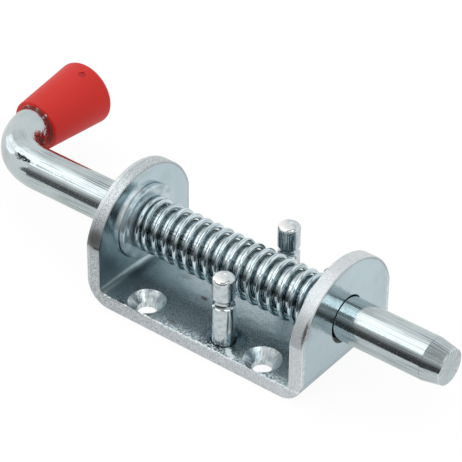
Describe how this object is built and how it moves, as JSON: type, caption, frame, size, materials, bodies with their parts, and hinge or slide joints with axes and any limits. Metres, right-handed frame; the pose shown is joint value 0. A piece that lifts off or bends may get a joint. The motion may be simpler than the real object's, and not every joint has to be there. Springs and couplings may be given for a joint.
{
  "type": "spring loaded gate latch",
  "caption": "Screw-down spring bolt: a folded steel bracket carries a round tapered bolt with a spring, a bent handle with a plastic cap, and studs that hold it open.",
  "frame": {"origin": "middle of the bracket's mounting face", "axes": "+X along the bolt towards its nose, +Z out of the mounting face towards the bolt, +Y across the plate to the side that the handle points to"},
  "size_m": [0.212, 0.0743, 0.0448],
  "materials": {
    "bracket_zinc": "rolled steel strip with bright zinc plating",
    "bolt_zinc": "drawn bar with bright zinc plating",
    "cap_plastic": "moulded red plastic",
    "spring_wire": "drawn spring wire with bright zinc plating",
    "washer_zinc": "stamped washer with bright zinc plating",
    "pin_steel": "turned pin, plain steel",
    "stud_zinc": "turned stud with bright zinc plating"
  },
  "bodies": {
    "frame": {"bracket": "bracket_zinc", "seat_washer": "washer_zinc", "stud_front": "stud_zinc", "stud_back": "stud_zinc", "spring": "spring_wire"},
    "carrier": {"thrust_washer": "washer_zinc"},
    "bolt": {"bolt": "bolt_zinc", "grip_cap": "cap_plastic", "cross_pin": "pin_steel"}
  },
  "joints": [
    {"name": "bolt_slide", "type": "slide", "parent": "frame", "child": "carrier", "axis": [-1, 0, 0], "range_m": [0, 0.038], "stiffness_N_per_m": 1600, "springref_m": -0.0155, "deforming": ["spring"]},
    {"name": "bolt_turn", "type": "hinge", "parent": "carrier", "child": "bolt", "pos_m": [0, 0, 0.023], "axis": [1, 0, 0], "range_deg": [-12, 192]}
  ]
}
